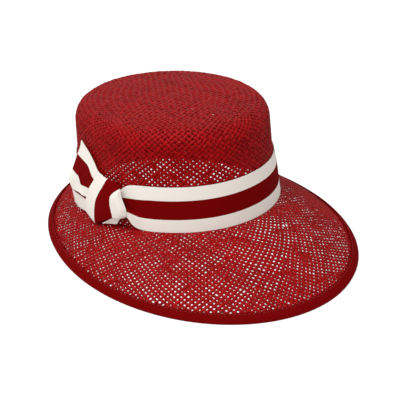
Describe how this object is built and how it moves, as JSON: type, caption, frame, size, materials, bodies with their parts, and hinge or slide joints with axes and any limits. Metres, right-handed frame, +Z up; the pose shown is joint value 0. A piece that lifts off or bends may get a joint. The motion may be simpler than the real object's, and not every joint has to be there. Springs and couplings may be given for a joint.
{
  "type": "woven straw sun hat",
  "caption": "Open-woven straw sun hat with an oval crown, a brim wide in front and narrow behind, ribbon-bound edge, and a striped ribbon band with a side bow",
  "frame": {"origin": "on the floor, under the middle of the brim's outline", "axes": "+Z up, +Y towards the back of the hat and its longest extent, +X towards the wearer's left"},
  "size_m": [0.2554, 0.3156, 0.1246],
  "materials": {
    "straw": "satin dyed straw strands in an open plain weave",
    "binding_ribbon": "matt grosgrain ribbon",
    "striped_ribbon": "grosgrain ribbon with one red stripe between two white ones"
  },
  "bodies": {
    "root": {"crown": "straw", "brim": "straw", "brim_binding": "binding_ribbon", "hat_band": "striped_ribbon", "bow_knot": "striped_ribbon", "bow_tail": "striped_ribbon"}
  },
  "joints": []
}
